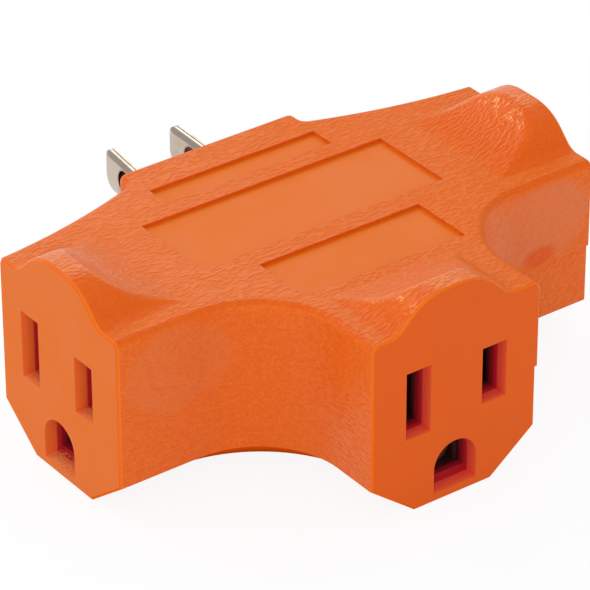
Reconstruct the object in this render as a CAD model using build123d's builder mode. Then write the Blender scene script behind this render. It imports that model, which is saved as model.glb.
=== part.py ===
from build123d import *
from math import sqrt
import os

# A three-outlet tap: an over-moulded plug whose body carries an outlet on its left, front and right.
# Millimetres. +Z is up, the front outlet looks along -Y and the plug blades point along +Y.
# The origin is in the base plane, below the crossing of the three outlets' centre lines.

# Standard pattern of a grounded outlet and its plug
BLADE_PITCH = 12.7
GROUND_DROP = 11.89
BLADE_THICKNESS = 1.52
BLADE_WIDTH = 6.35
GROUND_PIN_RADIUS = 2.38

# Over-moulded body
SIDE_REACH = 40.0
FRONT_REACH = 35.0
BACK_REACH = 22.1
ARM_WIDTH = 28.0
ARM_SHIFT = -0.6
TOP_Z = 28.3
PARTING_Z = 14.9
PARTING_STEP = 0.4
SWEEP_RADIUS = 13.0
BOSS_LENGTH = 2.9
BOSS_HALF = 14.9
BOSS_JOINT = 1.2
BACK_SAG = 0.9
CHAMFER_WIDTH = 7.4
CHAMFER_HEIGHT = 5.75
PLUG_CORNER = 1.1
RIM_RADIUS = 1.2
FACE_EDGE = 0.35
NEAR = 0.01

# Raised hump over each outlet: a ridge with a crown, scooped down to the top by an arc
HUMP_HALF = 9.5
HUMP_HEIGHT = 4.7
HUMP_CROWN = 8.0
HUMP_SHIFT = -0.6
HUMP_ROOT = 2.0
SCOOP_START = 3.4
SCOOP_END = 13.4
SCOOP_SAG = 0.85
CREST_RADIUS = 2.0
VALLEY_RADIUS = 3.0

# Recessed panels in the top: width, depth along Y and centre along Y
PANEL_DEPTH = 0.5
PANELS = ((28.0, 4.3, 13.4), (40.6, 14.2, 1.2), (26.8, 10.2, -14.4))

# Openings of one outlet
OUTLET_Z = 17.0
SLOT_WIDTH = 4.1
NEUTRAL_SLOT = 10.3
LINE_SLOT = 8.65
GROUND_HOLE_RADIUS = 3.57
GROUND_HOLE_FLOOR = 1.5

# Inner core, in three layers: base, tray and cover
SKIN = 2.7
CORE_HALF = 10.8
CORE_WALL = 1.6
CORE_CORNER = 3.0
KEEL_HALF = 4.6
KEEL_Z = 1.2
KEEL_TOP_Z = 6.3
CORE_HOLE_FLOOR = 2.2
TRAY_Z = 9.3
TRAY_FLOOR = 1.3
COVER_Z = 22.2
CORE_TOP_Z = 25.2
FIT_GAP = 0.2

# Bus bars and the sheet of the contacts
BUS_THICKNESS = 0.8
BUS_WIDTH = 7.0
BUS_END = 11.6
BUS_PLUG_END = 4.5
WEB_THICKNESS = 0.6

# Spring contacts, as depths behind the outlet face and offsets from the slot's middle
LEAF_THICKNESS = 0.5
LEAF_MOUTH = 4.9
LEAF_PINCH = 7.4
WEB_LENGTH = 5.0
MOUTH_OFFSET = 1.6
PINCH_OFFSET = 0.85
ROOT_OFFSET = 1.7
NEUTRAL_LEAF = 9.6
LINE_LEAF = 9.4
WEB_WIDTH = 3.9
POCKET_HALF = 2.55
RIVET_DEPTH = 14.6
SLEEVE_INNER = 2.35
SLEEVE_OUTER = 2.9
SLEEVE_SLIT = 1.6
SLEEVE_END = 13.5
TAIL_START = 9.0
TAIL_MARGIN = 2.5
TAIL_WIDTH = 4.4
GROUND_RIVET_DEPTH = 16.5

# Rivets
RIVET_RADIUS = 0.95
RIVET_HOLE = 1.05
RIVET_HEAD = 1.8
RIVET_UPSET = 1.3
HEAD_HEIGHT = 0.6
HEAD_TAPER = 0.7
RIVET_SIDES = 8

# Plug blades and ground pin
BLADE_RISE = 0.9
BLADE_REACH = 18.0
BLADE_ROOT = 9.5
FOOT_LENGTH = 5.0
FOOT_WIDTH = 5.2
FOOT_RIVET = 2.15
BLADE_LEAN = {1: 6.5, -1: 1.5}
BLADE_HOLE_RADIUS = 1.98
BLADE_HOLE_SETBACK = 6.2
BLADE_CORNER = 1.6
BLADE_HEEL = 2.1
BEND_LENGTH = 0.3
BLADE_BEVEL = 0.3
BEVEL_BAND = 0.8
SEAM_WIDTH = 0.16
SEAM_DEPTH = 0.25
PIN_EXTRA = 3.2
PIN_COLLAR = 2.75
PIN_SHANK = 2.0
PIN_FIT = 0.1
PIN_ROOT = 12.0
PAD_LENGTH = 5.0
PAD_HALF = 2.0
PIN_RIVET_DEPTH = 2.0

# Levels and places that follow from the sizes above
half_width = ARM_WIDTH / 2
back_y = ARM_SHIFT + half_width
boss_y = BACK_REACH - BOSS_LENGTH
wall_y = ARM_SHIFT - half_width
blade_offset = BLADE_PITCH / 2
ground_z = OUTLET_Z - GROUND_DROP
plug_z = OUTLET_Z + BLADE_RISE
pin_z = plug_z - GROUND_DROP
ground_bus_z = TRAY_Z - BUS_THICKNESS
tail_z = ground_bus_z - WEB_THICKNESS
line_bus_z = TRAY_Z + TRAY_FLOOR
line_web_z = line_bus_z + BUS_THICKNESS
neutral_web_z = COVER_Z
neutral_bus_z = COVER_Z + WEB_THICKNESS
pocket_start = SKIN + CORE_WALL
leaf_root = RIVET_DEPTH - WEB_LENGTH / 2
contact_end = RIVET_DEPTH + WEB_LENGTH / 2
tail_end = GROUND_RIVET_DEPTH + TAIL_MARGIN

# Outlets: the way each one faces and how far its face lies from the origin
OUTLETS = {
    "left": ((-1, 0), SIDE_REACH),
    "front": ((0, -1), FRONT_REACH),
    "right": ((1, 0), SIDE_REACH),
}
# Sides of a pole: +1 is the neutral side, on the left of each outlet as a user sees it
NEUTRAL = 1
LINE = -1
GROUND = 0

os.makedirs("parts", exist_ok=True)


def face_plane(out, face, height, depth=0.0):
    """Upright plane facing out of an outlet, x to the user's right, depth behind the face."""
    reach = face - depth
    origin = (out[0] * reach, out[1] * reach, height)
    return Plane(origin=origin, x_dir=(-out[1], out[0], 0), z_dir=(out[0], out[1], 0))


def floor_plane(out, face, height):
    """Level plane at an outlet, x running in from the face and y to the user's left."""
    return Plane(origin=(out[0] * face, out[1] * face, height), x_dir=(-out[0], -out[1], 0), z_dir=(0, 0, 1))


def body_plan(step):
    """Plan of the body, with the front right-hand wall set in by step."""
    with BuildSketch() as plan:
        with BuildLine():
            for hand, inset in ((-1, 0), (1, step)):
                centre_x = half_width + SWEEP_RADIUS
                centre_y = wall_y - SWEEP_RADIUS
                radius = SWEEP_RADIUS + inset
                slant = radius / sqrt(2)
                corner = (hand * SIDE_REACH, wall_y + inset)
                bend_start = (hand * centre_x, wall_y + inset)
                bend_middle = (hand * (centre_x - slant), centre_y + slant)
                bend_end = (hand * (half_width - inset), centre_y)
                Line((hand * SIDE_REACH, back_y), corner)
                Line(corner, bend_start)
                ThreePointArc(bend_start, bend_middle, bend_end)
                Line(bend_end, (hand * (half_width - inset), -FRONT_REACH))
                sag_point = (hand * (SIDE_REACH + BOSS_HALF) / 2, (back_y + boss_y) / 2 - BACK_SAG)
                joint = (hand * BOSS_HALF, boss_y)
                ThreePointArc((hand * SIDE_REACH, back_y), sag_point, joint)
                Line(joint, (hand * BOSS_HALF, BACK_REACH))
            Line((-half_width, -FRONT_REACH), (half_width - step, -FRONT_REACH))
            Line((-BOSS_HALF, BACK_REACH), (BOSS_HALF, BACK_REACH))
        make_face()
        fillet(plan.vertices().filter_by(lambda v: abs(v.Y - boss_y) < NEAR), BOSS_JOINT)
    return plan.sketch


def core_plan(half, shift, gap=0.0):
    """Plan of the core: two side arms, a front arm and a plug arm, half wide each way."""
    side = SIDE_REACH - SKIN
    front = FRONT_REACH - SKIN
    back = BACK_REACH - SKIN
    with BuildSketch() as plan:
        with Locations((0, shift)):
            Rectangle(2 * side + gap, 2 * half + gap)
        with Locations((0, (back - front) / 2)):
            Rectangle(2 * half + gap, front + back + gap)
        inner = plan.vertices().filter_by(lambda v: abs(v.X) < half + 1 and abs(v.Y) < half + 1)
        fillet(inner, CORE_CORNER)
    return plan.sketch


def bus_plan(pole, gap=0.0):
    """Plan of one bus bar: a trunk from the front outlet to the plug and a branch to each side outlet."""
    trunk_x = -pole * blade_offset
    branch_end = SIDE_REACH - BUS_END + gap
    front_end = FRONT_REACH - BUS_END + gap
    back_end = BACK_REACH - BUS_PLUG_END + gap
    width = BUS_WIDTH + 2 * gap
    with BuildSketch() as plan:
        with Locations((trunk_x, (back_end - front_end) / 2)):
            Rectangle(width, front_end + back_end)
        for hand in (-1, 1):
            end_x = hand * branch_end
            with Locations(((end_x + trunk_x) / 2, -hand * pole * blade_offset)):
                Rectangle(abs(end_x - trunk_x), width)
    return plan.sketch


def outlet_openings(out, face, depth, reach, floor_z):
    """Cutter for one outlet's three openings, from depth behind the face inwards by reach."""
    with BuildPart(mode=Mode.PRIVATE) as cutter:
        with BuildSketch(face_plane(out, face, OUTLET_Z, depth)):
            with Locations((-blade_offset, 0)):
                Rectangle(SLOT_WIDTH, NEUTRAL_SLOT)
            with Locations((blade_offset, 0)):
                Rectangle(SLOT_WIDTH, LINE_SLOT)
            with Locations((0, -GROUND_DROP)):
                Circle(GROUND_HOLE_RADIUS)
            drop = ground_z - floor_z
            with Locations((0, -GROUND_DROP - drop / 2)):
                Rectangle(2 * GROUND_HOLE_RADIUS, drop)
            with Locations((0, -GROUND_DROP - drop - GROUND_HOLE_RADIUS)):
                Rectangle(4 * GROUND_HOLE_RADIUS, 2 * GROUND_HOLE_RADIUS, mode=Mode.SUBTRACT)
        extrude(amount=-reach)
    return cutter.part


def hump(out, face):
    """Raised hump over an outlet: a rounded ridge with soft valleys at its feet, scooped down to the top."""
    shift = (0, ARM_SHIFT) if out[0] else (HUMP_SHIFT, 0)
    origin = Vector(out[0] * face + shift[0], out[1] * face + shift[1], TOP_Z)
    across = Vector(-out[1], out[0], 0)
    inward = Vector(-out[0], -out[1], 0)
    top_half = HUMP_HALF - HUMP_HEIGHT
    foot = HUMP_HALF + VALLEY_RADIUS / 2
    with BuildPart(mode=Mode.PRIVATE) as ridge:
        with BuildSketch(Plane(origin=origin, x_dir=across, z_dir=-inward)) as section:
            with BuildLine():
                left = (-foot, -HUMP_ROOT), (-foot, 0), (-HUMP_HALF, 0), (-top_half, HUMP_HEIGHT)
                right = (top_half, HUMP_HEIGHT), (HUMP_HALF, 0), (foot, 0), (foot, -HUMP_ROOT)
                Polyline(*left, *right, close=True)
            make_face()
            fillet(section.vertices().filter_by(lambda v: v.Y > HUMP_HEIGHT - NEAR), HUMP_CROWN)
            feet = section.vertices().filter_by(lambda v: abs(v.Y) < NEAR and abs(v.X) < HUMP_HALF + NEAR)
            fillet(feet, VALLEY_RADIUS)
        extrude(amount=-SCOOP_END)
        with BuildSketch(Plane(origin=origin, x_dir=inward, z_dir=across)):
            with BuildLine():
                SagittaArc((SCOOP_START, HUMP_HEIGHT), (SCOOP_END, 0), -SCOOP_SAG)
                Polyline((SCOOP_END, 0), (SCOOP_END, HUMP_HEIGHT), (SCOOP_START, HUMP_HEIGHT))
            make_face()
        extrude(amount=foot, both=True, mode=Mode.SUBTRACT)
        scooped = ridge.edges().filter_by(lambda e: (e.center() - origin).dot(inward) > SCOOP_START - NEAR)
        fillet(scooped.filter_by(lambda e: e.center().Z > TOP_Z + NEAR), CREST_RADIUS)
    return ridge.part


def on_end_face(edge):
    """True for an edge that lies in an outlet's face or in the plug's face."""
    middle = edge.center()
    at_side = abs(abs(middle.X) - SIDE_REACH) < NEAR
    return at_side or abs(middle.Y + FRONT_REACH) < NEAR or abs(middle.Y - BACK_REACH) < NEAR


def at_outlet(edge):
    """True for an edge that lies in one of the three outlet faces."""
    return on_end_face(edge) and abs(edge.center().Y - BACK_REACH) > NEAR


# Body: two mould halves that meet at the parting line, with a step on the front right-hand wall
with BuildPart() as body:
    extrude(body_plan(PARTING_STEP), amount=PARTING_Z)
    underside = body.faces().sort_by(Axis.Z)[0]
    skirt = underside.edges().filter_by(lambda e: not on_end_face(e))
    chamfer(skirt, CHAMFER_WIDTH, CHAMFER_HEIGHT, reference=underside)
    extrude(Plane.XY.offset(PARTING_Z) * body_plan(0), amount=TOP_Z - PARTING_Z)
    plug_corners = body.edges().filter_by(Axis.Z).filter_by(lambda e: e.center().Y > BACK_REACH - NEAR)
    fillet(plug_corners, PLUG_CORNER)
    top = body.faces().sort_by(Axis.Z)[-1]
    fillet(top.edges().filter_by(lambda e: not at_outlet(e)), RIM_RADIUS)
    for out, face in OUTLETS.values():
        add(hump(out, face))
    chamfer(body.edges().filter_by(at_outlet), FACE_EDGE)
    with BuildSketch(Plane.XY.offset(TOP_Z)):
        for width, depth, middle in PANELS:
            with Locations((0, middle)):
                Rectangle(width, depth)
    extrude(amount=-PANEL_DEPTH, mode=Mode.SUBTRACT)
    core_room = Plane.XY.offset(KEEL_TOP_Z) * core_plan(CORE_HALF, ARM_SHIFT)
    extrude(core_room, amount=CORE_TOP_Z - KEEL_TOP_Z, mode=Mode.SUBTRACT)
    extrude(Plane.XY.offset(KEEL_Z) * core_plan(KEEL_HALF, 0), amount=KEEL_TOP_Z - KEEL_Z, mode=Mode.SUBTRACT)
    for out, face in OUTLETS.values():
        add(outlet_openings(out, face, 0, SKIN, GROUND_HOLE_FLOOR), mode=Mode.SUBTRACT)
    with BuildSketch(Plane.XZ.offset(-BACK_REACH)):
        with Locations((-blade_offset, plug_z), (blade_offset, plug_z)):
            Rectangle(BLADE_THICKNESS, BLADE_WIDTH)
        with Locations((0, pin_z)):
            Circle(PIN_COLLAR + PIN_FIT)
    extrude(amount=SKIN, mode=Mode.SUBTRACT)
body.part.label = "body"
export_step(body.part, "parts/body.step")


# Core base: keel around the ground contacts, with a flange that carries the ground bus
with BuildPart() as core_base:
    extrude(Plane.XY.offset(KEEL_Z) * core_plan(KEEL_HALF, 0), amount=KEEL_TOP_Z - KEEL_Z)
    extrude(Plane.XY.offset(KEEL_TOP_Z) * core_plan(CORE_HALF, ARM_SHIFT), amount=TRAY_Z - KEEL_TOP_Z)
    channel = Plane.XY.offset(ground_bus_z) * bus_plan(GROUND, FIT_GAP)
    extrude(channel, amount=BUS_THICKNESS, mode=Mode.SUBTRACT)
    for out, face in OUTLETS.values():
        pocket_floor = ground_z - SLEEVE_OUTER
        pocket_length = tail_end + FIT_GAP - pocket_start
        with BuildSketch(floor_plane(out, face, pocket_floor)):
            with Locations((pocket_start + pocket_length / 2, 0)):
                Rectangle(pocket_length, 2 * SLEEVE_OUTER + FIT_GAP)
        extrude(amount=TRAY_Z - pocket_floor, mode=Mode.SUBTRACT)
        add(outlet_openings(out, face, SKIN, CORE_WALL, CORE_HOLE_FLOOR), mode=Mode.SUBTRACT)
    with BuildSketch(Plane.XY.offset(pin_z - PIN_SHANK)):
        with Locations((0, BACK_REACH - pocket_start - PIN_ROOT / 2)):
            Rectangle(2 * PIN_SHANK + FIT_GAP, PIN_ROOT)
    extrude(amount=TRAY_Z - pin_z + PIN_SHANK, mode=Mode.SUBTRACT)
    with BuildSketch(Plane.XZ.offset(-BACK_REACH)):
        with Locations((0, pin_z)):
            Circle(PIN_SHANK + PIN_FIT)
    extrude(amount=pocket_start, mode=Mode.SUBTRACT)
core_base.part.label = "core_base"
export_step(core_base.part, "parts/core_base.step")


def place(out, face, depth, side):
    """Point in plan at a depth behind an outlet face, on the neutral, line or ground side."""
    lateral = side * blade_offset
    return (out[0] * (face - depth) + out[1] * lateral, out[1] * (face - depth) - out[0] * lateral)


# Riveted joints of each pole, in plan
RIVETS = {}
for pole in (NEUTRAL, LINE):
    RIVETS[pole] = [place(out, face, RIVET_DEPTH, pole) for out, face in OUTLETS.values()]
    RIVETS[pole].append((-pole * (blade_offset - FOOT_RIVET), BACK_REACH - BLADE_ROOT + FOOT_LENGTH / 2))
RIVETS[GROUND] = [place(out, face, GROUND_RIVET_DEPTH, GROUND) for out, face in OUTLETS.values()]
RIVETS[GROUND].append((0, BACK_REACH - PIN_ROOT + PAD_LENGTH / 2))


def rivet_wells(pole, height, depth):
    """Cutter for the hollows that clear the rivet heads of a pole, from a height by a depth."""
    with BuildPart(mode=Mode.PRIVATE) as wells:
        with BuildSketch(Plane.XY.offset(height)):
            with Locations(*RIVETS[pole]):
                RegularPolygon(RIVET_HEAD + FIT_GAP, RIVET_SIDES)
        extrude(amount=depth)
    return wells.part


# Core tray: pockets of the blade contacts over the channel of the line bus
with BuildPart() as core_tray:
    extrude(Plane.XY.offset(TRAY_Z) * core_plan(CORE_HALF, ARM_SHIFT), amount=COVER_Z - TRAY_Z)
    channel = Plane.XY.offset(line_bus_z) * bus_plan(LINE, FIT_GAP)
    extrude(channel, amount=COVER_Z - line_bus_z, mode=Mode.SUBTRACT)
    for out, face in OUTLETS.values():
        pocket_length = contact_end + FIT_GAP - pocket_start
        for side, floor_z in ((NEUTRAL, OUTLET_Z - NEUTRAL_SLOT / 2), (LINE, line_bus_z)):
            with BuildSketch(floor_plane(out, face, floor_z)):
                with Locations((pocket_start + pocket_length / 2, side * blade_offset)):
                    Rectangle(pocket_length, 2 * POCKET_HALF)
            extrude(amount=COVER_Z - floor_z, mode=Mode.SUBTRACT)
        add(outlet_openings(out, face, SKIN, CORE_WALL, CORE_HOLE_FLOOR), mode=Mode.SUBTRACT)
    with BuildSketch(Plane.XZ.offset(-BACK_REACH)):
        with Locations((-blade_offset, plug_z), (blade_offset, plug_z)):
            Rectangle(BLADE_THICKNESS, BLADE_WIDTH)
    extrude(amount=BLADE_ROOT, mode=Mode.SUBTRACT)
    root_length = BLADE_ROOT + FIT_GAP - pocket_start
    root_x = -blade_offset + FOOT_WIDTH / 2 - BLADE_THICKNESS
    with BuildSketch(Plane.XY.offset(plug_z - BLADE_WIDTH / 2)):
        with Locations((root_x, BACK_REACH - pocket_start - root_length / 2)):
            Rectangle(FOOT_WIDTH + BLADE_THICKNESS, root_length)
    extrude(amount=COVER_Z - plug_z + BLADE_WIDTH / 2, mode=Mode.SUBTRACT)
    add(rivet_wells(LINE, line_bus_z, -HEAD_HEIGHT), mode=Mode.SUBTRACT)
    add(rivet_wells(GROUND, TRAY_Z, HEAD_HEIGHT), mode=Mode.SUBTRACT)
core_tray.part.label = "core_tray"
export_step(core_tray.part, "parts/core_tray.step")

# Core cover: closes the tray over the neutral bus
with BuildPart() as core_cover:
    extrude(Plane.XY.offset(COVER_Z) * core_plan(CORE_HALF, ARM_SHIFT), amount=CORE_TOP_Z - COVER_Z)
    recess = WEB_THICKNESS + BUS_THICKNESS
    extrude(Plane.XY.offset(COVER_Z) * bus_plan(NEUTRAL, FIT_GAP), amount=recess, mode=Mode.SUBTRACT)
    add(rivet_wells(NEUTRAL, COVER_Z + recess, HEAD_HEIGHT), mode=Mode.SUBTRACT)
core_cover.part.label = "core_cover"
export_step(core_cover.part, "parts/core_cover.step")


def bus_bar(name, pole, height):
    """Bus bar of one pole, stamped from sheet and pierced for its rivets."""
    with BuildPart(mode=Mode.PRIVATE) as bus:
        extrude(Plane.XY.offset(height) * bus_plan(pole), amount=BUS_THICKNESS)
        with BuildSketch(Plane.XY.offset(height)):
            with Locations(*RIVETS[pole]):
                RegularPolygon(RIVET_HOLE, RIVET_SIDES)
        extrude(amount=BUS_THICKNESS, mode=Mode.SUBTRACT)
    bus.part.label = name
    export_step(bus.part, f"parts/{name}.step")


bus_bar("neutral_bus", NEUTRAL, neutral_bus_z)
bus_bar("line_bus", LINE, line_bus_z)
bus_bar("ground_bus", GROUND, ground_bus_z)


def blade_contact(name, out, face, side, web_z, leaf_z, leaf_height):
    """Female contact of one blade slot: two sprung leaves that hang from, or stand on, a riveted web."""
    middle = side * blade_offset
    with BuildPart(mode=Mode.PRIVATE) as contact:
        with BuildSketch(floor_plane(out, face, leaf_z)):
            for hand in (-1, 1):
                with BuildLine():
                    Polyline(
                        (LEAF_MOUTH, middle + hand * MOUTH_OFFSET),
                        (LEAF_PINCH, middle + hand * PINCH_OFFSET),
                        (leaf_root, middle + hand * ROOT_OFFSET),
                        (contact_end, middle + hand * ROOT_OFFSET),
                    )
                trace(line_width=LEAF_THICKNESS)
        extrude(amount=leaf_height)
        with BuildSketch(floor_plane(out, face, web_z)):
            with Locations(((leaf_root + contact_end) / 2, middle)):
                Rectangle(contact_end - leaf_root, WEB_WIDTH)
            with Locations((RIVET_DEPTH, middle)):
                RegularPolygon(RIVET_HOLE, RIVET_SIDES, mode=Mode.SUBTRACT)
        extrude(amount=WEB_THICKNESS)
    contact.part.label = name
    export_step(contact.part, f"parts/{name}.step")


def ground_contact(name, out, face):
    """Female contact of one ground hole: a slit sleeve with a riveted tail."""
    with BuildPart(mode=Mode.PRIVATE) as contact:
        with BuildSketch(face_plane(out, face, ground_z, LEAF_MOUTH)):
            Circle(SLEEVE_OUTER)
            Circle(SLEEVE_INNER, mode=Mode.SUBTRACT)
            with Locations((0, -SLEEVE_OUTER)):
                Rectangle(SLEEVE_SLIT, SLEEVE_OUTER, mode=Mode.SUBTRACT)
        extrude(amount=LEAF_MOUTH - SLEEVE_END)
        with BuildSketch(floor_plane(out, face, tail_z)):
            with Locations(((TAIL_START + tail_end) / 2, 0)):
                Rectangle(tail_end - TAIL_START, TAIL_WIDTH)
            with Locations((GROUND_RIVET_DEPTH, 0)):
                RegularPolygon(RIVET_HOLE, RIVET_SIDES, mode=Mode.SUBTRACT)
        extrude(amount=WEB_THICKNESS)
    contact.part.label = name
    export_step(contact.part, f"parts/{name}.step")


for where, (out, face) in OUTLETS.items():
    neutral_leaf_z = neutral_web_z - NEUTRAL_LEAF
    blade_contact(f"{where}_neutral_contact", out, face, NEUTRAL, neutral_web_z, neutral_leaf_z, NEUTRAL_LEAF)
    line_leaf_z = line_web_z + WEB_THICKNESS
    blade_contact(f"{where}_line_contact", out, face, LINE, line_web_z, line_leaf_z, LINE_LEAF)
    ground_contact(f"{where}_ground_contact", out, face)


def rivet(place_xy, low, high, low_head, high_head):
    """One rivet through a stack of sheet from low to high, with a head or an upset end at each side."""
    with BuildPart(mode=Mode.PRIVATE) as one:
        with BuildSketch(Plane((*place_xy, low))):
            RegularPolygon(RIVET_RADIUS, RIVET_SIDES)
        extrude(amount=high - low)
        for height, radius, way in ((low, low_head, -1), (high, high_head, 1)):
            if radius:
                for level, size in ((0, 1), (HEAD_HEIGHT, HEAD_TAPER)):
                    with BuildSketch(Plane((*place_xy, height + way * level))):
                        RegularPolygon(radius * size, RIVET_SIDES)
                loft()
    return one.part


neutral_top = neutral_bus_z + BUS_THICKNESS
line_top = line_web_z + WEB_THICKNESS

# Rivets of each bus bar, one group to a pole: the one at the pin ends in the pin's blind hole
with BuildPart() as neutral_rivets:
    for place_xy in RIVETS[NEUTRAL]:
        add(rivet(place_xy, neutral_web_z, neutral_top, RIVET_UPSET, RIVET_HEAD))
neutral_rivets.part.label = "neutral_rivets"
export_step(neutral_rivets.part, "parts/neutral_rivets.step")

with BuildPart() as line_rivets:
    for place_xy in RIVETS[LINE]:
        add(rivet(place_xy, line_bus_z, line_top, RIVET_HEAD, RIVET_UPSET))
line_rivets.part.label = "line_rivets"
export_step(line_rivets.part, "parts/line_rivets.step")

with BuildPart() as ground_rivets:
    for place_xy in RIVETS[GROUND][:-1]:
        add(rivet(place_xy, tail_z, TRAY_Z, RIVET_UPSET, RIVET_HEAD))
    add(rivet(RIVETS[GROUND][-1], ground_bus_z - PIN_RIVET_DEPTH, TRAY_Z, 0, RIVET_HEAD))
ground_rivets.part.label = "ground_rivets"
export_step(ground_rivets.part, "parts/ground_rivets.step")


def blade(name, side, foot_z):
    """Plug blade of folded sheet, bevelled outside the body, with a foot that is riveted to its bus bar."""
    root_x = -side * blade_offset
    root_y = BACK_REACH - BLADE_ROOT
    exit_point = Vector(root_x, BACK_REACH, plug_z)
    run = Vector(0, 1, 0).rotate(Axis.Z, -BLADE_LEAN[side])
    sideways = run.rotate(Axis.Z, 90)
    with BuildPart(mode=Mode.PRIVATE) as plug_blade:
        with BuildSketch(Plane(exit_point, x_dir=run, z_dir=sideways)) as outline:
            with Locations((BLADE_REACH / 2, 0)):
                Rectangle(BLADE_REACH, BLADE_WIDTH)
            fillet(outline.vertices().group_by(Axis.X)[-1].sort_by(Axis.Y)[0], BLADE_CORNER)
            fillet(outline.vertices().group_by(Axis.X)[-1].sort_by(Axis.Y)[-1], BLADE_HEEL)
            with Locations((BLADE_REACH - BLADE_HOLE_SETBACK, 0)):
                Circle(BLADE_HOLE_RADIUS, mode=Mode.SUBTRACT)
        extrude(amount=BLADE_THICKNESS / 2, both=True)
        for hand in (-1, 1):
            side_face = plug_blade.faces().sort_by(lambda f: f.center().dot(sideways) * hand)[-1]
            outer_rim = side_face.outer_wire().edges()
            rim = outer_rim.filter_by(lambda e: (e.center() - exit_point).dot(run) > NEAR)
            chamfer(rim, BEVEL_BAND, BLADE_BEVEL, reference=side_face)
        with BuildSketch(Plane(exit_point + Vector(0, 0, BLADE_WIDTH / 2), x_dir=run, z_dir=(0, 0, 1))):
            with Locations((BLADE_REACH / 2 + BEND_LENGTH, 0)):
                Rectangle(BLADE_REACH, SEAM_WIDTH)
        extrude(amount=-SEAM_DEPTH, mode=Mode.SUBTRACT)
        with BuildSketch(Plane.XY.offset(plug_z - BLADE_WIDTH / 2)):
            with Locations((root_x, (root_y + BACK_REACH + BEND_LENGTH) / 2)):
                Rectangle(BLADE_THICKNESS, BLADE_ROOT + BEND_LENGTH)
        extrude(amount=BLADE_WIDTH)
        riser_low = min(foot_z, plug_z)
        riser_high = max(foot_z + WEB_THICKNESS, plug_z)
        with BuildSketch(Plane.XY.offset(riser_low)):
            with Locations((root_x, root_y + FOOT_LENGTH / 2)):
                Rectangle(BLADE_THICKNESS, FOOT_LENGTH)
        extrude(amount=riser_high - riser_low)
        with BuildSketch(Plane.XY.offset(foot_z)):
            with Locations((root_x + side * FOOT_WIDTH / 4, root_y + FOOT_LENGTH / 2)):
                Rectangle(FOOT_WIDTH / 2 + BLADE_THICKNESS, FOOT_LENGTH)
            with Locations((root_x + side * FOOT_RIVET, root_y + FOOT_LENGTH / 2)):
                RegularPolygon(RIVET_HOLE, RIVET_SIDES, mode=Mode.SUBTRACT)
        extrude(amount=WEB_THICKNESS)
    plug_blade.part.label = name
    export_step(plug_blade.part, f"parts/{name}.step")


blade("neutral_blade", NEUTRAL, neutral_web_z)
blade("line_blade", LINE, line_web_z)

# Ground pin: a turned pin with a collar in the body's skin and a pad under the ground bus
with BuildPart() as ground_pin:
    with BuildSketch(Plane.YZ):
        with BuildLine():
            tip_y = BACK_REACH + BLADE_REACH + PIN_EXTRA
            dome_y = tip_y - GROUND_PIN_RADIUS
            root_y = BACK_REACH - PIN_ROOT
            skin_y = BACK_REACH - SKIN
            Polyline(
                (root_y, pin_z),
                (root_y, pin_z + PIN_SHANK),
                (skin_y, pin_z + PIN_SHANK),
                (skin_y, pin_z + PIN_COLLAR),
                (BACK_REACH, pin_z + PIN_COLLAR),
                (BACK_REACH, pin_z + GROUND_PIN_RADIUS),
                (dome_y, pin_z + GROUND_PIN_RADIUS),
            )
            RadiusArc((dome_y, pin_z + GROUND_PIN_RADIUS), (tip_y, pin_z), GROUND_PIN_RADIUS)
            Line((tip_y, pin_z), (root_y, pin_z))
        make_face()
    revolve(axis=Axis((0, 0, pin_z), (0, 1, 0)))
    with BuildSketch(Plane.XY.offset(pin_z)):
        with Locations((0, root_y + PAD_LENGTH / 2)):
            Rectangle(2 * PAD_HALF, PAD_LENGTH)
    extrude(amount=ground_bus_z - pin_z)
    with BuildSketch(Plane.XY.offset(ground_bus_z)):
        with Locations(RIVETS[GROUND][-1]):
            RegularPolygon(RIVET_HOLE, RIVET_SIDES)
    extrude(amount=-PIN_RIVET_DEPTH, mode=Mode.SUBTRACT)
ground_pin.part.label = "ground_pin"
export_step(ground_pin.part, "parts/ground_pin.step")
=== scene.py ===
from math import cos, radians, sin

import bmesh
import bpy
from bpy.props import FloatProperty, FloatVectorProperty, PointerProperty
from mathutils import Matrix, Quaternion, Vector


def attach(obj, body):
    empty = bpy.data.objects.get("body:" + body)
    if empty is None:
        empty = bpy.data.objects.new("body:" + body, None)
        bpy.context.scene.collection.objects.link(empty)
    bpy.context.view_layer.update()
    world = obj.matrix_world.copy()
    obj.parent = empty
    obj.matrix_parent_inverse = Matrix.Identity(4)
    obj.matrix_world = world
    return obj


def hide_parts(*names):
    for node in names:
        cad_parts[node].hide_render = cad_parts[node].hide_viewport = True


bl_info = {
    "name": "Three-outlet tap",
    "version": (1, 0, 0),
    "blender": (4, 5, 0),
    "location": "3D View > Sidebar > Tap",
    "description": "Dresses the packed model of a three-outlet tap and sets it on a white stage",
    "category": "Object",
}

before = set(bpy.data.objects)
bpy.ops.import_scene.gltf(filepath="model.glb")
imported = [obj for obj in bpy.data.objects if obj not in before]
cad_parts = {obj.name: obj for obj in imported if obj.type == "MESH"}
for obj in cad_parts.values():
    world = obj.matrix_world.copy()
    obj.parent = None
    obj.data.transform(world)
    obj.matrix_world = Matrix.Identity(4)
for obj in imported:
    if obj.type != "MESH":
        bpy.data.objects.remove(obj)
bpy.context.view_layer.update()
MM = 0.001

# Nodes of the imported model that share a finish
OUTLETS = ("left", "front", "right")
POLES = ("neutral", "line", "ground")
CORE_NODES = ("core_base", "core_tray", "core_cover")
BRASS_NODES = tuple(f"{pole}_{part}" for part in ("bus", "rivets") for pole in POLES)
CONTACT_NODES = tuple(f"{where}_{pole}_contact" for where in OUTLETS for pole in POLES)
PLATED_NODES = ("neutral_blade", "line_blade", "ground_pin")

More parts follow.
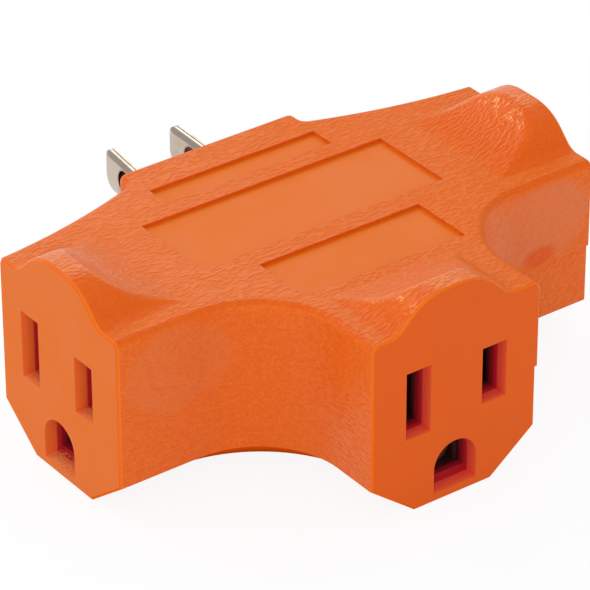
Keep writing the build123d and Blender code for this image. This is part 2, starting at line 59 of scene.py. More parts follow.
# Places that the finishes follow, in millimetres
SIDE_REACH = 40.0
FRONT_REACH = 35.0
TOP_Z = 28.3
PARTING_Z = 14.9
PANEL_Z = 27.8
PANELS = ((28.0, 4.3, 13.4), (40.6, 14.2, 1.2), (26.8, 10.2, -14.4))  # width, length, middle
SLOT_ACROSS = 6.35
SLOT_Z = 17.0
SLOT_HALF = (2.25, 5.35)
HOLE_Z = 5.11
HOLE_HALF = (3.75, 3.85)
BLADE_TOP = 21.08
BLADE_HOLE = (33.9, 17.9)
BLADE_HOLE_RADIUS = 1.98

# Zones behind an outlet's face: depth and soft start, in millimetres
FACE_ZONE = (0.2, 0.2)
OPENING_ZONE = (2.9, 0.3)

# Distances behind an outlet's face between which one colour of painted glow and shade gives way to
# the next, in millimetres
THROAT_TURN = (0.1, 1.2)
DEEP_TURN = (1.75, 2.1)
BLACK_TURN = (3.1, 4.1)
CORE_TURN = (12.0, 15.0)

# Oval marks on the arms, seen from the front, the dent and the patch of painted sheen: centre and
# half size, in millimetres
DENT = ((30.6, 16.3), (3.3, 1.8))
SHEEN_PATCH = ((31.0, 21.2), (8.6, 6.4))

# Slopes, as the height or the front part of the surface's direction, that count as steep or turned
STEEP = (0.4, 0.75)
TURNED_DOWN = (0.2, 0.5)
TURNED_UP = (0.6, 0.9)
TURNED_FRONT = (0.3, 0.6)

# Cycles of the grain in one pitch along each axis, and the noise levels of its creases and ribs
TOP_GRAIN = (0.9, 1.7, 1.0)
WALL_GRAIN = (0.75, 0.75, 1.5)
PEBBLE_GRAIN = 2.4
CREASE_LEVEL = 0.3
RIB_LEVEL = 0.68

# Wider patterns of the vinyl, in cycles to the millimetre, and heights of its marks in millimetres
PATCH_CYCLES = 0.07
MOTTLE_CYCLES = 0.09
WAVE_CYCLES = 0.12
SWAY_CYCLES = 0.2
BREAK_CYCLES = 0.35
SWAY = 0.45
WAVE_HEIGHT = 0.2
FLASH_HEIGHT = 0.07
DENT_DEPTH = 0.2

# What each mark makes of the vinyl's tone: factors of its red, green and blue; all but mottle and
# flash are painted light and shade
TINTS = {
    "mottle": (0.97, 0.92, 0.8),
    "painted_sheen": (1.0, 1.42, 0.5),
    "rib_sheen": (1.06, 1.6, 1.0),
    "crease_shade": (0.95, 0.75, 0.6),
    "speck_glint": (1.15, 1.75, 7.0),
    "underside": (1.1, 1.2, 1.0),
    # the dent's tint is painted shade
    "dent": (0.97, 0.78, 0.6),
    "edge_highlight": (1.25, 2.0, 4.0),
    "flash": (1.2, 2.6, 12.0),
}

# Colours and gloss of the openings, the core behind them and the vinyl's skin; the openings' reds
# and the core's crimson and black are painted glow and shade
THROAT_OUTER = (0.96, 0.14, 0.045, 1.0)
THROAT_INNER = (0.95, 0.1, 0.055, 1.0)
THROAT_SIDE = (0.95, 0.18, 0.035, 1.0)
THROAT_SHADE = (0.6, 0.01, 0.035, 1.0)
THROAT_GLINT = (0.95, 0.42, 0.18, 1.0)
CORE_TINTS = ((0.85, 0.6, 2.0), (0.95, 0.75, 2.0))
CORE_SHADE = (0.4, 0.01, 0.02, 1.0)
CORE_DEEP_SHADE = (0.03, 0.008, 0.008, 1.0)
CORE_ROUGHNESS = 0.42
CORE_SPECKLE = (6.0, 0.006)  # cycles to the millimetre, and height
WARM_GLOSS = (1.0, 0.9, 0.35, 1.0)
GLOSSY_IOR = 1.38
MATT_IOR = 1.0
WHITE = (1.0, 1.0, 1.0, 1.0)

# Sheet metal: roughness of the stamped parts, cycles of the strokes and stains to the millimetre,
# height of a stroke, and what each mark makes of the metal's tone
STAMPED_ROUGHNESS = 0.3
STAMPED_STROKES = (2.0, 2.0, 0.4)
ROLLED_STROKES = (3.0, 0.35, 3.0)
STAIN_CYCLES = 0.35
STROKE_HEIGHT = 0.008
METAL_TINTS = {
    "stain": (0.84, 0.78, 0.68),
    # painted dark reflection on the blade's bevelled top
    "dark_bevel_reflection": (0.36, 0.36, 0.34),
    "copper": (0.75, 0.4, 0.25),
    # painted shade in the lock-out hole's bore
    "hole": (0.1, 0.06, 0.05),
}

# Stage: half width of the floor, the spot that the lamps face, and each lamp's place, width and
# height, in metres; a fill lamp's last number is its share of the fill power
FLOOR_REACH = 4.0
LAMP_TARGET = (0.0, 0.0, 0.015)
KEY_LAMP = ((-0.22, 0.55, 0.55), 0.09, 0.09)
FILL_LAMPS = {
    "back_lamp": ((0.19, 0.71, 0.42), 0.8, 0.4, 1.0),
    "left_lamp": ((-0.7, 0.15, 0.35), 0.6, 0.4, 0.45),
    "front_lamp": ((-0.4, -0.6, 0.42), 0.6, 0.4, 1.1),
}

# The photograph's camera, in degrees and millimetres
AZIMUTH = -36.343
ELEVATION = 31.558
ROLL = -0.162
AIM = (-0.688, 0.0, 14.287)
AIM_DISTANCE = 574.5
LENS = 254.2
SENSOR = 36.0


class Field:
    """A value in a material, so that sums and products of values read as plain expressions."""

    def __init__(self, finish, socket):
        self.finish = finish
        self.socket = socket

    def __add__(self, other):
        return self.finish.maths("ADD", self, other)

    def __radd__(self, other):
        return self.finish.maths("ADD", other, self)

    def __sub__(self, other):
        return self.finish.maths("SUBTRACT", self, other)

    def __rsub__(self, other):
        return self.finish.maths("SUBTRACT", other, self)

    def __mul__(self, other):
        return self.finish.maths("MULTIPLY", self, other)

    def __rmul__(self, other):
        return self.finish.maths("MULTIPLY", other, self)

    def __truediv__(self, other):
        return self.finish.maths("DIVIDE", self, other)

    def __rtruediv__(self, other):
        return self.finish.maths("DIVIDE", other, self)

    def __pow__(self, other):
        return self.finish.maths("POWER", self, other)

    def __neg__(self):
        return self.finish.maths("MULTIPLY", self, -1.0)

    def __abs__(self):
        return self.finish.maths("ABSOLUTE", self)


class Finish:
    """A material or world in the making: its node tree and the ways in which nodes are added."""

    def __init__(self, name, kind="materials"):
        self.made = getattr(bpy.data, kind).new(name)
        self.made.use_nodes = True
        self.tree = self.made.node_tree
        self.tree.nodes.clear()

    def feed(self, socket, value):
        """Gives a socket its link or its constant."""
        if isinstance(value, Field):
            value = value.socket
        if isinstance(value, bpy.types.NodeSocket):
            self.tree.links.new(value, socket)
        else:
            socket.default_value = value

    def node(self, kind, settings=None, inputs=None):
        """Adds a node: its settings first, then its sockets."""
        made = self.tree.nodes.new(kind)
        for key, value in (settings or {}).items():
            setattr(made, key, value)
        for key, value in (inputs or {}).items():
            self.feed(made.inputs[key], value)
        return made

    def maths(self, operation, *operands):
        """A Math node on fields and numbers."""
        made = self.node("ShaderNodeMath", {"operation": operation}, dict(enumerate(operands)))
        return Field(self, made.outputs[0])

    def either(self, first, second):
        """The larger of two values."""
        return self.maths("MAXIMUM", first, second)

    def vectors(self, operation, *operands):
        """A Vector Math node's vector."""
        inputs = dict(enumerate(operands))
        return self.node("ShaderNodeVectorMath", {"operation": operation}, inputs).outputs[0]

    def stretched(self, place, scale):
        """A place multiplied axis by axis."""
        return self.vectors("MULTIPLY", place, scale)

    def noise(self, place, scale, detail=2.0, roughness=0.5):
        """Smooth noise from 0 to 1 at a place in millimetres, scale in cycles to the millimetre."""
        inputs = {"Vector": place, "Scale": scale, "Detail": detail, "Roughness": roughness}
        return Field(self, self.node("ShaderNodeTexNoise", None, inputs).outputs[0])

    def swirl(self, place, scale):
        """Noise that moves a place sideways, from -1 to 1 along each axis."""
        inputs = {"Vector": place, "Scale": scale, "Detail": 1.0}
        made = self.node("ShaderNodeTexNoise", None, inputs)
        doubled = self.stretched(made.outputs[1], (2.0, 2.0, 2.0))
        return self.vectors("SUBTRACT", doubled, (1.0, 1.0, 1.0))

    def rise(self, value, low, high):
        """A smooth step from 0 at low to 1 at high."""
        settings = {"interpolation_type": "SMOOTHSTEP"}
        made = self.node("ShaderNodeMapRange", settings, {0: value, 1: low, 2: high})
        return Field(self, made.outputs[0])

    def within(self, value, centre, half, soft):
        """1 where a value is within half of a centre, with a soft edge."""
        return 1.0 - self.rise(abs(value - centre), half - soft, half + soft)

    def near(self, value, reach, depth, soft):
        """1 where a value comes within a depth of its reach, with a soft start."""
        return self.rise(value, reach - depth - soft, reach - depth)

    def blend(self, factor, first, second):
        """A mix of two colours."""
        inputs = {"Factor": factor, 6: first, 7: second}
        return self.node("ShaderNodeMix", {"data_type": "RGBA"}, inputs).outputs[2]

    def layered(self, base, *layers):
        """Lays colours over a base, each a pair of its share and its colour, the last on top."""
        for share, colour in layers:
            base = self.blend(share, base, colour)
        return base

    def parts(self, vector):
        """The three parts of a vector."""
        outputs = self.node("ShaderNodeSeparateXYZ", None, {0: vector}).outputs
        return [Field(self, outputs[axis]) for axis in range(3)]

    def place(self):
        """The place on the piece in millimetres, and its three parts."""
        coordinates = self.node("ShaderNodeTexCoord").outputs["Object"]
        millimetres = self.stretched(coordinates, (1000.0, 1000.0, 1000.0))
        return millimetres, *self.parts(millimetres)

    def facing(self):
        """The three parts of the direction in which the surface faces."""
        return self.parts(self.node("ShaderNodeTexCoord").outputs["Normal"])

    def wrinkles(self, place, scale):
        """Ripples from 0 in the creases to 1 on the ribs, scale in cycles to the millimetre."""
        ripples = self.noise(self.stretched(place, scale), 1.0, 0.7, 0.5)
        return self.rise(ripples, CREASE_LEVEL, RIB_LEVEL)

    def glance(self):
        """0 where the surface is seen square on, to 1 edge on."""
        made = self.node("ShaderNodeLayerWeight", None, {"Blend": 0.5})
        return Field(self, made.outputs["Facing"])

    def oval(self, across, up, centre, half):
        """Distance from the centre of an oval, which is 1 on its edge."""
        wide = (across - centre[0]) / half[0]
        high = (up - centre[1]) / half[1]
        return (wide * wide + high * high) ** 0.5

    def mouths(self, across, up):
        """1 in an outlet's two slots and ground hole, from a place across and up its face."""
        soft = 0.1
        slots = self.within(abs(across), SLOT_ACROSS, SLOT_HALF[0], soft)
        slots = slots * self.within(up, SLOT_Z, SLOT_HALF[1], soft)
        hole = self.within(across, 0.0, HOLE_HALF[0], soft)
        hole = hole * self.within(up, HOLE_Z, HOLE_HALF[1], soft)
        return self.either(slots, hole)

    def behind_face(self, x, y):
        """Distance to the nearest outlet's face, in millimetres."""
        return self.maths("MINIMUM", abs(abs(x) - SIDE_REACH), abs(y + FRONT_REACH))

    def relief(self, height):
        """A normal from a height in millimetres."""
        inputs = {"Strength": 1.0, "Distance": MM, "Height": height}
        return self.node("ShaderNodeBump", None, inputs).outputs[0]

    def shader(self, **sockets):
        """The principled shader; a word's underscores stand for spaces."""
        inputs = {key.replace("_", " "): value for key, value in sockets.items()}
        return self.node("ShaderNodeBsdfPrincipled", None, inputs).outputs[0]

    def either_shader(self, share, first, second):
        """A mix of two shaders, with the second one's share."""
        return self.node("ShaderNodeMixShader", None, {0: share, 1: first, 2: second}).outputs[0]

    def wire(self, shader, kind="Material"):
        """Wires a shader to the output."""
        self.node(f"ShaderNodeOutput{kind}", None, {"Surface": shader})
        return self.made


class VinylFinish(bpy.types.PropertyGroup):
    """Over-moulded vinyl of the body."""

    tone: FloatVectorProperty(
        name="Tone",
        description="Colour of the vinyl",
        subtype="COLOR",
        size=3,
        min=0.0,
        max=1.0,
        default=(0.705, 0.09, 0.002),
    )
    roughness: FloatProperty(
        name="Roughness",
        description="Roughness of the vinyl between its wrinkles",
        subtype="FACTOR",
        min=0.0,
        max=1.0,
        default=0.4,
    )
    grain_pitch: FloatProperty(
        name="Grain pitch",
        description="Distance between the wrinkles of the grain, in millimetres",
        min=0.2,
        max=4.0,
        default=0.82,
    )
    grain_depth: FloatProperty(
        name="Grain depth",
        description="Depth of the grain, in millimetres",
        min=0.0,
        max=0.5,
        default=0.08,
    )


class MetalFinish(bpy.types.PropertyGroup):
    """Nickel of the blades, pin and contacts, and brass of the bus bars and rivets."""

    nickel: FloatVectorProperty(
        name="Nickel",
        description="Colour of the plated blades and pin",
        subtype="COLOR",
        size=3,
        min=0.0,
        max=1.0,
        default=(0.57, 0.485, 0.41),
    )
    # The contacts' colour is dark as painted shade of the deep slots they sit in
    contact: FloatVectorProperty(
        name="Contact",
        description="Colour of the dimmed spring contacts",
        subtype="COLOR",
        size=3,
        min=0.0,
        max=1.0,
        default=(0.24, 0.22, 0.2),
    )
    brass: FloatVectorProperty(
        name="Brass",
        description="Colour of the bus bars and rivets",
        subtype="COLOR",
        size=3,
        min=0.0,
        max=1.0,
        default=(0.72, 0.52, 0.24),
    )
    roughness: FloatProperty(
        name="Roughness",
        description="Roughness of the plated metal",
        subtype="FACTOR",
        min=0.0,
        max=1.0,
        default=0.27,
    )


class StageSetup(bpy.types.PropertyGroup):
    """Floor, lamps and world."""

    floor_shade: FloatProperty(
        name="Floor shade",
        description="Whiteness of the floor",
        subtype="FACTOR",
        min=0.0,
        max=1.0,
        default=0.95,
    )
    floor_shadow: FloatProperty(
        name="Floor shadow",
        description="Share of the shadow that shows on the white floor",
        subtype="FACTOR",
        min=0.0,
        max=1.0,
        default=0.1,
    )
    sky_level: FloatProperty(
        name="Sky level",
        description="Strength of the even light from all round",
        min=0.0,
        max=5.0,
        default=0.8,
    )
    key_power: FloatProperty(
        name="Key lamp",
        description="Power of the lamp above and behind",
        unit="POWER",
        min=0.0,
        max=100.0,
        default=0.85,
    )
    fill_power: FloatProperty(
        name="Fill lamps",
        description="Power of the wide lamps at the back, left and front",
        unit="POWER",
        min=0.0,
        max=100.0,
        default=1.2,
    )


def merged_copy(node, name, sharp_angle):
    """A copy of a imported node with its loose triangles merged, shaded smooth up to an angle."""
    shape = bmesh.new()
    shape.from_mesh(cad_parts[node].data)
    bmesh.ops.remove_doubles(shape, verts=shape.verts, dist=0.002 * MM)
    bmesh.ops.dissolve_degenerate(shape, edges=shape.edges, dist=0.001 * MM)
    mesh = bpy.data.meshes.new(name)
    shape.to_mesh(mesh)
    shape.free()
    if "custom_normal" in mesh.attributes:
        mesh.attributes.remove(mesh.attributes["custom_normal"])
    mesh.shade_smooth()
    mesh.set_sharp_from_angle(angle=radians(sharp_angle))
    piece = bpy.data.objects.new(name, mesh)
    bpy.context.scene.collection.objects.link(piece)
    even = piece.modifiers.new("Even normals", "WEIGHTED_NORMAL")
    even.mode = "FACE_AREA"
    even.keep_sharp = True
    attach(piece, "root")
    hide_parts(node)
    return piece


def cover(piece, material):
    """Gives a piece one material on all its faces."""
    piece.data.materials.clear()
    piece.data.materials.append(material)


def tinted(tone, red, green, blue):
    """A colour made from another by a factor for each of its parts."""
    return (tone[0] * red, tone[1] * green, tone[2] * blue, 1.0)


def outlet_zones(finish, x, y, z):
    """Masks of the outlets' faces, of all openings behind them, and of the side outlets' own."""
    side = abs(x)
    faces = finish.either(finish.near(side, SIDE_REACH, *FACE_ZONE),
                          finish.near(-y, FRONT_REACH, *FACE_ZONE))
    at_sides = finish.near(side, SIDE_REACH, *OPENING_ZONE) * finish.mouths(y, z)
    at_front = finish.near(-y, FRONT_REACH, *OPENING_ZONE) * finish.mouths(x, z)
    return faces, finish.either(at_sides, at_front), at_sides


def panel_floors(finish, x, y, z):
    """Mask of the floors of the sunk panels on top."""
    floors = 0.0
    at_floor = finish.within(z, PANEL_Z, 0.3, 0.05)
    for width, length, middle in PANELS:
        panel = finish.within(x, 0.0, width / 2, 0.1) * finish.within(y, middle, length / 2, 0.1)
        floors = finish.either(floors, panel * at_floor)
    return floors


def grain(finish, place, upright, pitch):
    """Wrinkles that run left to right over the top and level round the walls, and pebbles."""
    sway = finish.stretched(finish.swirl(place, SWAY_CYCLES), (SWAY, SWAY, SWAY))
    bent = finish.vectors("ADD", place, sway)
    over_top = finish.wrinkles(bent, tuple(cycles / pitch for cycles in TOP_GRAIN))
    round_walls = finish.wrinkles(bent, tuple(cycles / pitch for cycles in WALL_GRAIN))
    ribs = over_top + upright * (round_walls - over_top)
    return ribs, finish.noise(bent, PEBBLE_GRAIN / pitch, 2.0, 0.6)


def painted_throat_glow(finish, behind, at_sides):
    """Painted glow and shade on the openings' walls: red that turns deeper with the distance behind
    the face, and more orange on the side outlets.
    """
    return finish.layered(
        THROAT_OUTER,
        (finish.rise(behind, *THROAT_TURN), THROAT_INNER),
        (at_sides, THROAT_SIDE),
    )


def vinyl(tone, roughness, pitch, depth):
    """Orange vinyl: grained walls and top, smooth outlet faces and panels, marks of its mould, and
    painted sheen, glints, highlights and shade.
    """
    finish = Finish("orange_vinyl")
    place, x, y, z = finish.place()
    ny, nz = finish.facing()[1:]

    # Parts of the surface: walls, outlets, humps and the flanks that face the front
    upright = 1.0 - finish.rise(abs(nz), *STEEP)
    faces, openings, at_sides = outlet_zones(finish, x, y, z)
    outside = 1.0 - openings
    under = finish.rise(-nz, *TURNED_DOWN) * outside
    smooth = finish.either(finish.either(faces, openings), panel_floors(finish, x, y, z))
    raised = finish.rise(z, TOP_Z + 0.3, TOP_Z + 2.0)
    flanks = finish.rise(-ny, 0.2, 0.5) * finish.rise(z, TOP_Z - 1.4, TOP_Z - 0.4)
    to_left = finish.rise(-x, -22.0, 25.0)
    behind = finish.behind_face(x, y)

    # Grain, fainter on the flanks and patchy all over
    ribs, pebbles = grain(finish, place, upright, pitch)
    patchy = 0.7 + 0.6 * finish.noise(place, PATCH_CYCLES, 1.0)
    grained = (1.0 - smooth) * (1.0 - 0.5 * flanks)
    strength = grained * (1.0 - 0.15 * upright) * patchy
    level = grained * (1.0 - upright) * (1.0 - raised)

    # Marks of the mould: flash along the parting line and a shallow dent; and a pale patch of
    # painted sheen on the walls that face the front
    uneven = finish.noise(place, WAVE_CYCLES, 2.0)
    to_front = finish.rise(-ny, *TURNED_FRONT) * upright
    on_right = to_front * finish.rise(x, 15.0, 20.0) * (1.0 - faces)
    broken = finish.rise(finish.noise(place, BREAK_CYCLES, 1.0), 0.4, 0.55)
    flash = finish.within(z, PARTING_Z, 0.1, 0.07) * on_right * broken
    dent = (1.0 - finish.rise(finish.oval(x, z, *DENT), 0.55, 1.2)) * on_right
    sheen_patch = finish.oval(abs(x), z, *SHEEN_PATCH) + 0.35 * (uneven - 0.5)
    sheen_patch = (1.0 - finish.rise(sheen_patch, 0.82, 1.12)) * to_front * (1.0 - dent) * (1.0 - faces)

    # Height in millimetres: grain that is shallower on the humps, slightly wavy walls and the marks
    height = ribs * strength * (depth * (1.0 - 0.35 * raised))
    height = height + pebbles * strength * (depth * 0.4) + uneven * WAVE_HEIGHT
    height = height + flash * FLASH_HEIGHT - dent * DENT_DEPTH

    # Shares of the colours that lie over the tone: mottle and flash are the vinyl's own, the rest
    # painted sheen, glints, highlights, glow and shade
    mottle = finish.noise(place, MOTTLE_CYCLES, 3.0, 0.6)
    # Painted sheen: the tone turns paler where the surface is seen edge on, less on the flanks and
    # on the level grain
    painted_sheen = finish.rise(finish.glance(), 0.33, 0.5)
    painted_sheen = painted_sheen * (1.0 - 0.8 * flanks) * (1.0 - 0.2 * level * (1.0 - to_left))
    # Painted sheen of the rough grain: paler on the walls and flanks, and towards the left
    skin = 0.06 + 0.25 * to_left + upright * (0.74 - 0.25 * to_left) + 0.2 * flanks
    # Painted glints: pale specks on the grain's pebbles, most on the walls and flanks
    speck_glints = finish.rise(pebbles, 0.45, 0.62) * grained * (0.1 + 0.45 * upright + 0.4 * flanks)
    throat = openings * finish.rise(behind, 0.0, 0.06)
    # Painted glints: pale specks on the upturned floors of the side outlets' openings
    floor_glints = throat * at_sides * finish.rise(nz, *TURNED_UP) * finish.rise(pebbles, 0.42, 0.58)
    # Painted highlight: a thin pale line just behind the outlet faces' edges
    edge = finish.rise(behind, 0.03, 0.1) * (1.0 - finish.rise(behind, 0.3, 0.5)) * outside

    tints = {mark: tinted(tone, *factors) for mark, factors in TINTS.items()}
    base = finish.layered(
        (*tone, 1.0),
        (finish.rise(mottle, 0.35, 0.7) * 0.8, tints["mottle"]),
        (painted_sheen, tints["painted_sheen"]),
        # Painted sheen of the rough grain
        (grained * skin, (tone[0] * 1.04, tone[1] * 1.32, tone[2] + 0.012, 1.0)),
        # Painted sheen on the grain's ribs, and painted shade in its creases
        (ribs * strength * 0.15, tints["rib_sheen"]),
        ((1.0 - ribs) * strength * 0.22, tints["crease_shade"]),
        (speck_glints, tints["speck_glint"]),
        # Painted light from the white floor on the faces that turn down
        (under * 0.8, tints["underside"]),
        # The dent's bump is real; its darker tint is painted shade where the sheen drops away
        (dent * 0.8, tints["dent"]),
        # Painted sheen: a pale patch on the front walls, stronger on the right arm
        (sheen_patch * (0.45 + 0.45 * on_right), (tone[0] * 0.98, 0.15, 0.042, 1.0)),
        # Painted glow in the openings, turning to painted shade deeper in
        (throat, painted_throat_glow(finish, behind, at_sides)),
        (throat * finish.rise(behind, *DEEP_TURN) * 0.92, THROAT_SHADE),
        (floor_glints * 0.6, THROAT_GLINT),
        (edge * (0.15 + 0.5 * uneven), tints["edge_highlight"]),
        (flash * 0.75, tints["flash"]),
    )

    # Gloss: a satin skin that is duller in the smooth places, and matt on the level top and below
    dull = roughness + 0.06 * pebbles + 0.08 * smooth - 0.06 * finish.rise(mottle, 0.4, 0.6)
    dull = dull - ribs * grained * (0.08 + 0.14 * raised)
    sockets = {"Base_Color": base, "Roughness": dull, "Specular_Tint": WARM_GLOSS}
    sockets["Normal"] = finish.relief(height)
    glossy = finish.shader(IOR=GLOSSY_IOR, **sockets)
    matt = finish.shader(IOR=MATT_IOR, **sockets)
    share = finish.either(level * (0.4 - 0.2 * to_left), under)
    return finish.wire(finish.either_shader(share, glossy, matt))


def core_plastic(tone):
    """Hard plastic of the inner core: orange-red with flow marks, and painted shade near the
    outlets, crimson turning black deeper behind their faces.
    """
    finish = Finish("core_plastic")
    place, x, y, _ = finish.place()
    flow = finish.noise(finish.stretched(place, (0.3, 0.3, 1.0)), 0.5, 3.0)
    behind = finish.behind_face(x, y)
    near_mouth = 1.0 - finish.rise(behind, *CORE_TURN)
    first, second = (tinted(tone, *factors) for factors in CORE_TINTS)
    base = finish.layered(
        first,
        (flow, second),
        # Painted shade: crimson within reach of an outlet, black deeper in
        (near_mouth, CORE_SHADE),
        (near_mouth * finish.rise(behind, *BLACK_TURN) * 0.95, CORE_DEEP_SHADE),
    )
    cycles, height = CORE_SPECKLE
    speckle = finish.noise(place, cycles, 2.0)
    dull = CORE_ROUGHNESS + 0.1 * speckle
    normal = finish.relief(speckle * height)
    return finish.wire(finish.shader(Base_Color=base, Roughness=dull, Normal=normal))


def sheet_metal(name, tone, roughness, stroke, blade=False):
    """Rolled or stamped sheet: fine strokes along one direction, and faint stains. A blade also has
    a painted dark reflection along its top, copper shows round its lock-out hole, and the hole's
    bore is painted dark as shade."""
    finish = Finish(name)
    place, _, y, z = finish.place()
    strokes = finish.noise(finish.stretched(place, stroke), 1.0, 3.0, 0.6)
    stain = finish.rise(finish.noise(place, STAIN_CYCLES, 3.0, 0.6), 0.42, 0.7)
    tints = {mark: tinted(tone, *factors) for mark, factors in METAL_TINTS.items()}
    base = finish.blend(stain * 0.5, (*tone, 1.0), tints["stain"])
    if blade:
        facing_up = finish.rise(finish.facing()[2], *TURNED_UP)
        # Painted reflection: a dark band along the blade's bevelled top
        dark_bevel_reflection = finish.within(z, BLADE_TOP - 0.5, 0.45, 0.12) * (1.0 - facing_up)
        ring = finish.oval(y, z, BLADE_HOLE, (BLADE_HOLE_RADIUS, BLADE_HOLE_RADIUS))
        base = finish.layered(
            base,
            (dark_bevel_reflection * 0.75, tints["dark_bevel_reflection"]),
            (0.8 - 0.8 * finish.rise(ring, 1.04, 1.2), tints["copper"]),
            # Painted shade in the lock-out hole's bore
            (0.95 - 0.95 * finish.rise(ring, 1.0, 1.03), tints["hole"]),
        )
    dull = roughness + 0.16 * (strokes - 0.5) + 0.12 * stain
    normal = finish.relief(strokes * STROKE_HEIGHT)
    return finish.wire(finish.shader(Base_Color=base, Metallic=1.0, Roughness=dull, Normal=normal))


class TAP_OT_mould_body(bpy.types.Operator):
    """Make the over-moulded vinyl body"""

    bl_idname = "tap.mould_body"
    bl_label = "Mould body"

    def execute(self, context):
        look = context.scene.tap_vinyl
        body = merged_copy("body", "vinyl_body", sharp_angle=28.0)
        cover(body, vinyl(tuple(look.tone), look.roughness, look.grain_pitch, look.grain_depth))
        return {"FINISHED"}


class TAP_OT_finish_core(bpy.types.Operator):
    """Give the inner core its plastic"""

    bl_idname = "tap.finish_core"
    bl_label = "Finish core"

    def execute(self, context):
        plastic = core_plastic(tuple(context.scene.tap_vinyl.tone))
        for node in CORE_NODES:
            cover(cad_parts[node], plastic)
        return {"FINISHED"}


class TAP_OT_finish_conductors(bpy.types.Operator):
    """Give the bus bars and rivets their brass, and the contacts their plating"""

    bl_idname = "tap.finish_conductors"
    bl_label = "Finish conductors"

    def execute(self, context):
        look = context.scene.tap_metal
        # The contacts' plating is made dark: painted shade of the deep slots
        for name, tone, nodes in (("stamped_brass", look.brass, BRASS_NODES),
                                  ("dimmed_contact_plating", look.contact, CONTACT_NODES)):
            metal = sheet_metal(name, tuple(tone), STAMPED_ROUGHNESS, STAMPED_STROKES)
            for node in nodes:
                cover(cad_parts[node], metal)
        return {"FINISHED"}


class TAP_OT_plate_blades(bpy.types.Operator):
    """Make the plated plug blades and the ground pin"""

    bl_idname = "tap.plate_blades"
    bl_label = "Plate blades and pin"

    def execute(self, context):
        look = context.scene.tap_metal
        nickel = sheet_metal("plated_nickel", tuple(look.nickel), look.roughness, ROLLED_STROKES,
                             blade=True)
        for node in PLATED_NODES:
            piece = merged_copy(node, f"plated_{node}", sharp_angle=24.0)
            cover(piece, nickel)
        return {"FINISHED"}


def seen_rays(finish):
    """1 on rays from the camera, off a gloss or through glass, 0 on those that light the scene."""
    path = finish.node("ShaderNodeLightPath").outputs
    shiny = finish.either(path["Is Glossy Ray"], path["Is Transmission Ray"])
    return finish.either(path["Is Camera Ray"], shiny)


def floor_finish(shade, shadow):
    """White floor that keeps a soft shadow."""
    finish = Finish("stage_white")
    paint = finish.node("ShaderNodeBsdfDiffuse", None, {"Color": (shade, shade, shade, 1.0)})
    glow = finish.node("ShaderNodeEmission", None, {"Color": WHITE, "Strength": 1.0})
    share = seen_rays(finish) * (1.0 - shadow)
    return finish.wire(finish.either_shader(share, paint.outputs[0], glow.outputs[0]))


def sky(level):
    """A world that lights the scene at a level and shows white."""
    finish = Finish("stage_sky", "worlds")
    strength = level + (1.0 - level) * seen_rays(finish)
    light = finish.node("ShaderNodeBackground", None, {"Color": WHITE, "Strength": strength})
    return finish.wire(light.outputs[0], "World")


def softbox(name, place, width, height, power):
    """A rectangular lamp at a place, turned to the object."""
    lamp = bpy.data.lights.new(name, "AREA")
    lamp.shape = "RECTANGLE"
    lamp.size = width
    lamp.size_y = height
    lamp.energy = power
    stand = bpy.data.objects.new(name, lamp)
    bpy.context.scene.collection.objects.link(stand)
    stand.location = place
    stand.rotation_mode = "QUATERNION"
    aim = Vector(LAMP_TARGET) - Vector(place)
    stand.rotation_quaternion = aim.to_track_quat("-Z", "Y")


def photo_camera():
    """A camera where the photograph's stood, with its lens."""
    azimuth, elevation = radians(AZIMUTH), radians(ELEVATION)
    back = Vector((sin(azimuth) * cos(elevation), -cos(azimuth) * cos(elevation), sin(elevation)))
    lens = bpy.data.cameras.new("photo_camera")
    lens.sensor_width = SENSOR
    lens.lens = LENS
    lens.clip_start = 0.01
    lens.clip_end = 20.0
    camera = bpy.data.objects.new("photo_camera", lens)
    bpy.context.scene.collection.objects.link(camera)
    camera.location = Vector(AIM) * MM + back * (AIM_DISTANCE * MM)
    camera.rotation_mode = "QUATERNION"
    turn = Quaternion((0.0, 0.0, 1.0), radians(ROLL))
    camera.rotation_quaternion = (-back).to_track_quat("-Z", "Y") @ turn
    return camera


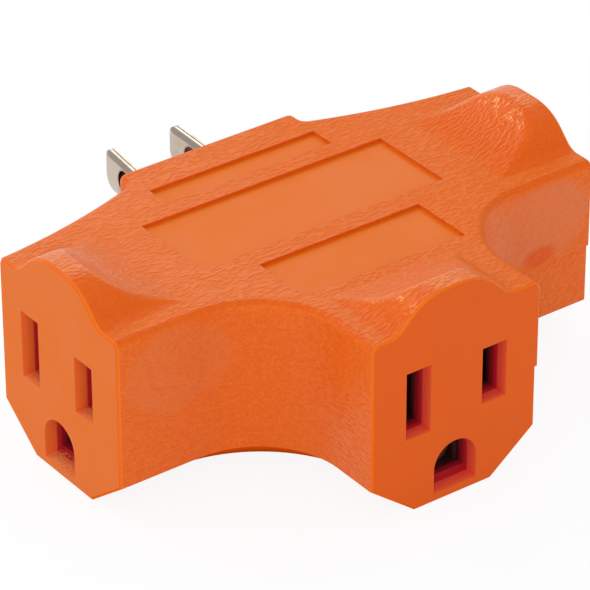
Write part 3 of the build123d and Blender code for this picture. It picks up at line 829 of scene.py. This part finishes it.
class TAP_OT_set_stage(bpy.types.Operator):
    """Set the floor, the lamps, the world and the camera"""

    bl_idname = "tap.set_stage"
    bl_label = "Set stage"

    def execute(self, context):
        stage = context.scene.tap_stage
        shape = bmesh.new()
        bmesh.ops.create_grid(shape, x_segments=1, y_segments=1, size=FLOOR_REACH)
        mesh = bpy.data.meshes.new("stage_floor")
        shape.to_mesh(mesh)
        shape.free()
        floor = bpy.data.objects.new("stage_floor", mesh)
        context.scene.collection.objects.link(floor)
        cover(floor, floor_finish(stage.floor_shade, stage.floor_shadow))

        context.scene.world = sky(stage.sky_level)
        softbox("key_lamp", *KEY_LAMP, stage.key_power)
        for name, (place, width, height, share) in FILL_LAMPS.items():
            softbox(name, place, width, height, stage.fill_power * share)
        context.scene.camera = photo_camera()
        context.scene.view_settings.view_transform = "Standard"
        return {"FINISHED"}


class TAP_PT_settings(bpy.types.Panel):
    """Settings and steps of the three-outlet tap"""

    bl_idname = "TAP_PT_settings"
    bl_label = "Three-outlet tap"
    bl_space_type = "VIEW_3D"
    bl_region_type = "UI"
    bl_category = "Tap"

    def draw(self, context):
        scene = context.scene
        groups = {"Vinyl": scene.tap_vinyl, "Metal": scene.tap_metal, "Stage": scene.tap_stage}
        for title, group in groups.items():
            section = self.layout.box()
            section.label(text=title)
            for name in group.__annotations__:
                section.prop(group, name)
        for step in STEPS:
            self.layout.operator(step.bl_idname)


GROUPS = (VinylFinish, MetalFinish, StageSetup)
STEPS = (
    TAP_OT_mould_body,
    TAP_OT_finish_core,
    TAP_OT_finish_conductors,
    TAP_OT_plate_blades,
    TAP_OT_set_stage,
)


def register():
    for each in GROUPS + STEPS + (TAP_PT_settings,):
        bpy.utils.register_class(each)
    bpy.types.Scene.tap_vinyl = PointerProperty(type=VinylFinish)
    bpy.types.Scene.tap_metal = PointerProperty(type=MetalFinish)
    bpy.types.Scene.tap_stage = PointerProperty(type=StageSetup)


def unregister():
    del bpy.types.Scene.tap_vinyl
    del bpy.types.Scene.tap_metal
    del bpy.types.Scene.tap_stage
    for each in reversed(GROUPS + STEPS + (TAP_PT_settings,)):
        bpy.utils.unregister_class(each)


def main():
    register()
    for step in STEPS:
        group, name = step.bl_idname.split(".")
        getattr(getattr(bpy.ops, group), name)()


if __name__ == "__main__":
    main()
